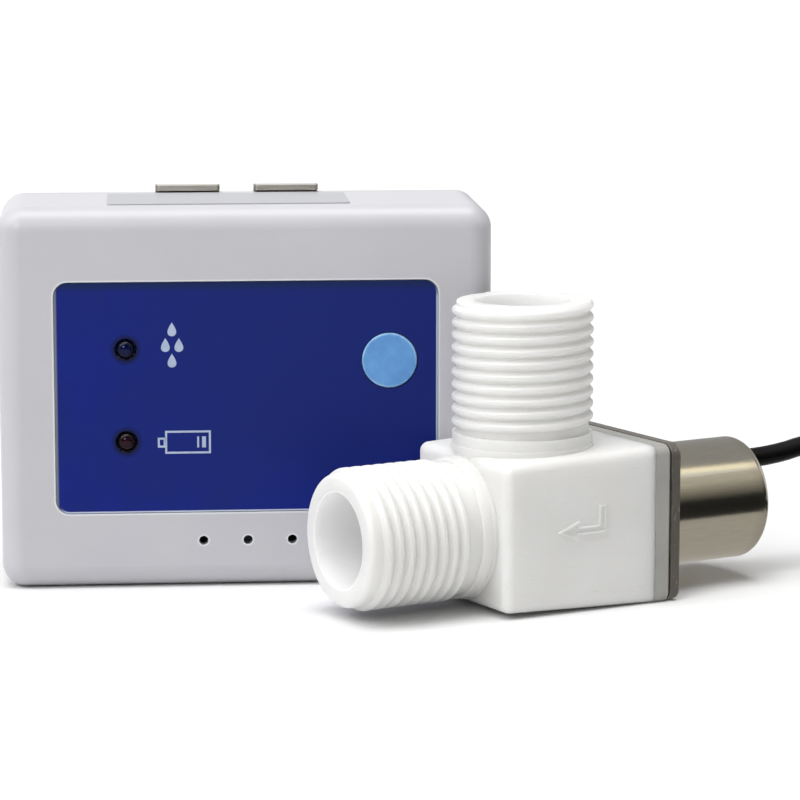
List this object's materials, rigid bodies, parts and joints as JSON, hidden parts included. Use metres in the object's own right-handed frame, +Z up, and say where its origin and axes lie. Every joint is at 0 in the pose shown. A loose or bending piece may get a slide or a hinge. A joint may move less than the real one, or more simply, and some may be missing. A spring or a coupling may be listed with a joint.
{
  "type": "water leak detector",
  "caption": "Battery leak alarm box with sensing plates, push button and lamps, and the threaded solenoid shut-off valve that it drives, on a plug-in cord.",
  "frame": {"origin": "middle of the control box's bottom face, on the surface that the box and the valve stand on", "axes": "+Z up; -Y out of the control box's front, with the lamps and the button; +X to the right, towards the valve"},
  "size_m": [0.2003, 0.0675, 0.0583],
  "materials": {
    "grey_case": "satin",
    "blue_film": "satin print",
    "cell_jacket": "smooth",
    "nickel": "bright",
    "board": "satin",
    "black_moulding": "satin",
    "blue_button": "satin",
    "white_plastic": "satin",
    "blue_lens": "polished",
    "red_lens": "polished",
    "screw_steel": "zinc plated",
    "sticker": "paper",
    "ivory_nylon": "satin moulded",
    "grey_nylon": "satin moulded",
    "rubber": "matt",
    "stainless": "drawn",
    "magnetic_steel": "turned",
    "copper": "enamelled wire",
    "cord_jacket": "smooth",
    "gold_plate": "plated"
  },
  "bodies": {
    "detector": {"front_cover": "grey_case", "rear_cover": "grey_case", "label_film": "blue_film", "battery_1": "cell_jacket", "battery_2": "cell_jacket", "battery_3": "cell_jacket", "battery_4": "cell_jacket", "contact_positive_end": "nickel", "contact_bridge_1_2": "nickel", "contact_bridge_2_3": "nickel", "contact_bridge_3_4": "nickel", "contact_negative_end": "nickel", "battery_springs": "nickel", "circuit_board": "board", "sounder": "black_moulding", "switch_body": "black_moulding", "leak_lamp": "blue_lens", "battery_lamp": "red_lens", "lamp_leads": "nickel", "controller_chip": "black_moulding", "valve_driver_chip": "black_moulding", "reservoir_capacitor": "stainless", "jack_socket": "black_moulding", "case_screws": "screw_steel", "board_screws": "screw_steel", "sensor_plate_left": "nickel", "sensor_plate_right": "nickel", "sensor_pin_left": "nickel", "sensor_pin_right": "nickel", "top_sticker": "sticker", "valve_body": "ivory_nylon", "inlet_screen": "white_plastic", "diaphragm_membrane": "rubber", "bonnet": "grey_nylon", "flange_plate": "screw_steel", "flange_screws": "screw_steel", "core_tube": "stainless", "tube_o_ring": "rubber", "plunger_spring": "stainless", "fixed_core": "magnetic_steel", "coil_bobbin": "white_plastic", "coil_winding": "copper", "latch_magnet": "magnetic_steel", "solenoid_can": "stainless", "cord_grommet": "rubber", "coil_leads": "cord_jacket", "cord_lead": "cord_jacket", "cord_coil": "cord_jacket", "plug_body": "black_moulding", "plug_sleeve": "gold_plate", "plug_ring": "black_moulding", "plug_tip": "gold_plate"},
    "battery_cover": {"battery_door": "grey_case"},
    "button": {"push_button": "blue_button", "switch_plunger": "white_plastic"},
    "plunger": {"plunger": "magnetic_steel", "plunger_seal": "rubber"},
    "diaphragm": {"diaphragm_disc": "white_plastic"}
  },
  "joints": [
    {"name": "battery_door_hinge", "type": "hinge", "parent": "detector", "child": "battery_cover", "pos_m": [-0.02615, 0.0129, 0.0286], "axis": [0, 0, 1], "range_deg": [0, 75]},
    {"name": "button_press", "type": "slide", "parent": "detector", "child": "button", "axis": [0, 1, 0], "range_m": [0, 0.00035], "stiffness_N_per_m": 800},
    {"name": "plunger_slide", "type": "slide", "parent": "detector", "child": "plunger", "axis": [0.8988, 0.4384, 0], "range_m": [0, 0.0016], "stiffness_N_per_m": 300, "deforming": ["plunger_spring"]},
    {"name": "diaphragm_lift", "type": "slide", "parent": "detector", "child": "diaphragm", "axis": [0.8988, 0.4384, 0], "range_m": [0, 0.0014], "deforming": ["diaphragm_membrane"]}
  ],
  "couplings": [
    {"joint": "diaphragm_lift", "follows": "plunger_slide", "ratio": 0.875}
  ]
}
